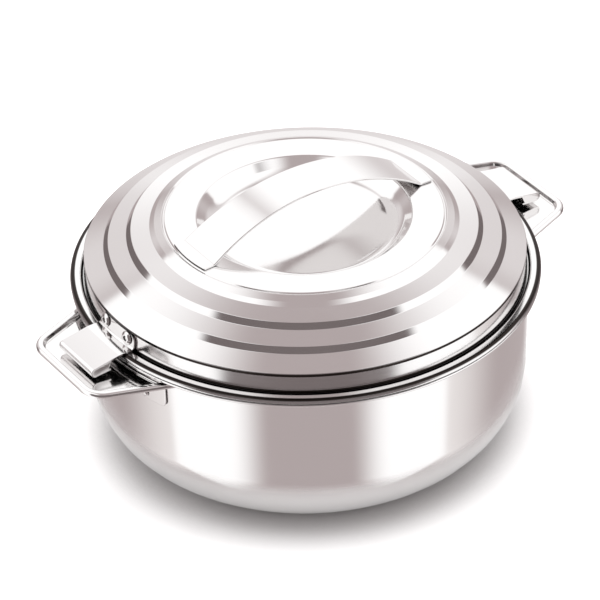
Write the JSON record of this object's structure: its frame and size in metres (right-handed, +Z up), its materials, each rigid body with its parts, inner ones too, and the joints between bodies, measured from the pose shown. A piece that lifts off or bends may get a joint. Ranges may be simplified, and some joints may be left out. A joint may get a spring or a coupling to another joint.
{
  "type": "insulated chapati casserole",
  "caption": "Double-walled polished steel casserole with a stepped lift-off lid, an arched strap handle, riveted lid clips and two tray-shaped side handles.",
  "frame": {"origin": "centre of the flat foot, on the table", "axes": "+Z up along the bowl's axis, X through the two side handles"},
  "size_m": [0.305, 0.25, 0.1505],
  "materials": {
    "body_steel": "mirror polished stainless steel",
    "bowl_steel": "satin polished stainless steel",
    "lid_steel": "mirror polished stainless steel",
    "strap_steel": "mirror polished stainless steel",
    "handle_steel": "polished stainless steel",
    "clip_steel": "polished stainless steel",
    "rivet_steel": "polished stainless steel",
    "foam": "rigid polyurethane foam",
    "plug_plastic": "grey moulded plastic"
  },
  "bodies": {
    "casserole_body": {"outer_shell": "body_steel", "inner_bowl": "bowl_steel", "body_foam": "foam", "body_fill_plug": "plug_plastic", "left_handle": "handle_steel", "right_handle": "handle_steel", "left_handle_rivet_1": "rivet_steel", "left_handle_rivet_2": "rivet_steel", "right_handle_rivet_1": "rivet_steel", "right_handle_rivet_2": "rivet_steel"},
    "lid": {"lid_pan": "bowl_steel", "lid_dome": "lid_steel", "lid_foam": "foam", "lid_fill_plug": "plug_plastic", "strap_handle": "strap_steel", "left_lid_clip": "clip_steel", "right_lid_clip": "clip_steel", "left_clip_rivet_1": "rivet_steel", "left_clip_rivet_2": "rivet_steel", "right_clip_rivet_1": "rivet_steel", "right_clip_rivet_2": "rivet_steel"}
  },
  "joints": [
    {"name": "lid_lift", "type": "slide", "parent": "casserole_body", "child": "lid", "axis": [0, 0, 1], "range_m": [0, 0.12]}
  ]
}
